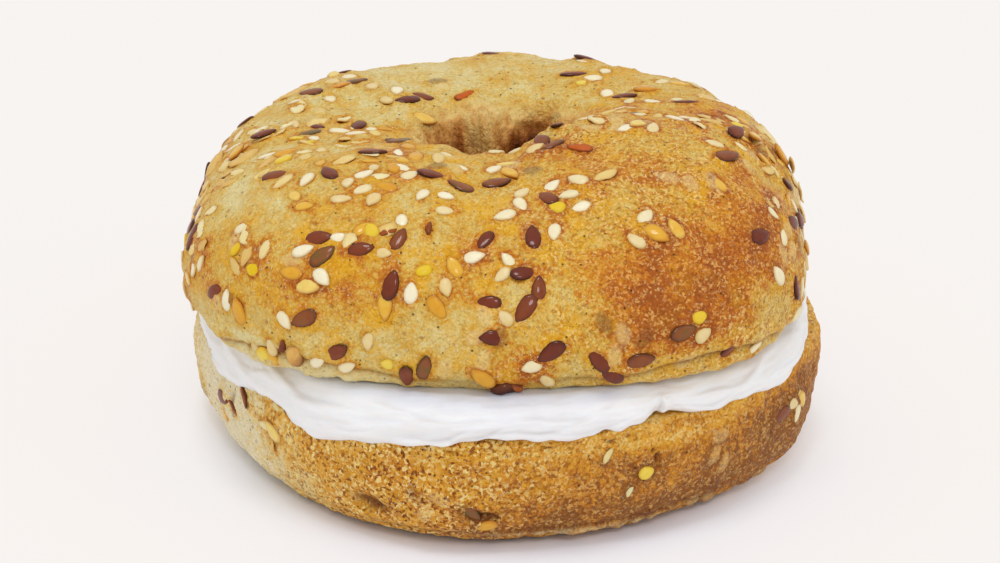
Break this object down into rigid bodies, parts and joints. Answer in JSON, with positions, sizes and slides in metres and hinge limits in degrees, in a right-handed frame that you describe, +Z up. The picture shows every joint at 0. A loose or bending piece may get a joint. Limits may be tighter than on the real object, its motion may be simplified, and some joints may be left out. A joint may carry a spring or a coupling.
{
  "type": "filled bagel",
  "caption": "Round ring-shaped bread roll with a seeded top, cut level through its side and filled with a thick layer of soft white cheese.",
  "frame": {"origin": "on the table, under the middle of the bagel", "axes": "+Z up, along the bagel's hole; +X to the right and +Y to the back as seen from the front"},
  "size_m": [0.0995, 0.1002, 0.0538],
  "materials": {
    "bottom_crust": "dry baked crust, golden with toasted patches",
    "soft_cheese": "moist satin white spread",
    "top_crust": "dry baked crust, yellow tan with orange toasting"
  },
  "bodies": {
    "root": {"bottom_half": "bottom_crust", "cream_cheese": "soft_cheese", "top_half": "top_crust"}
  },
  "joints": []
}
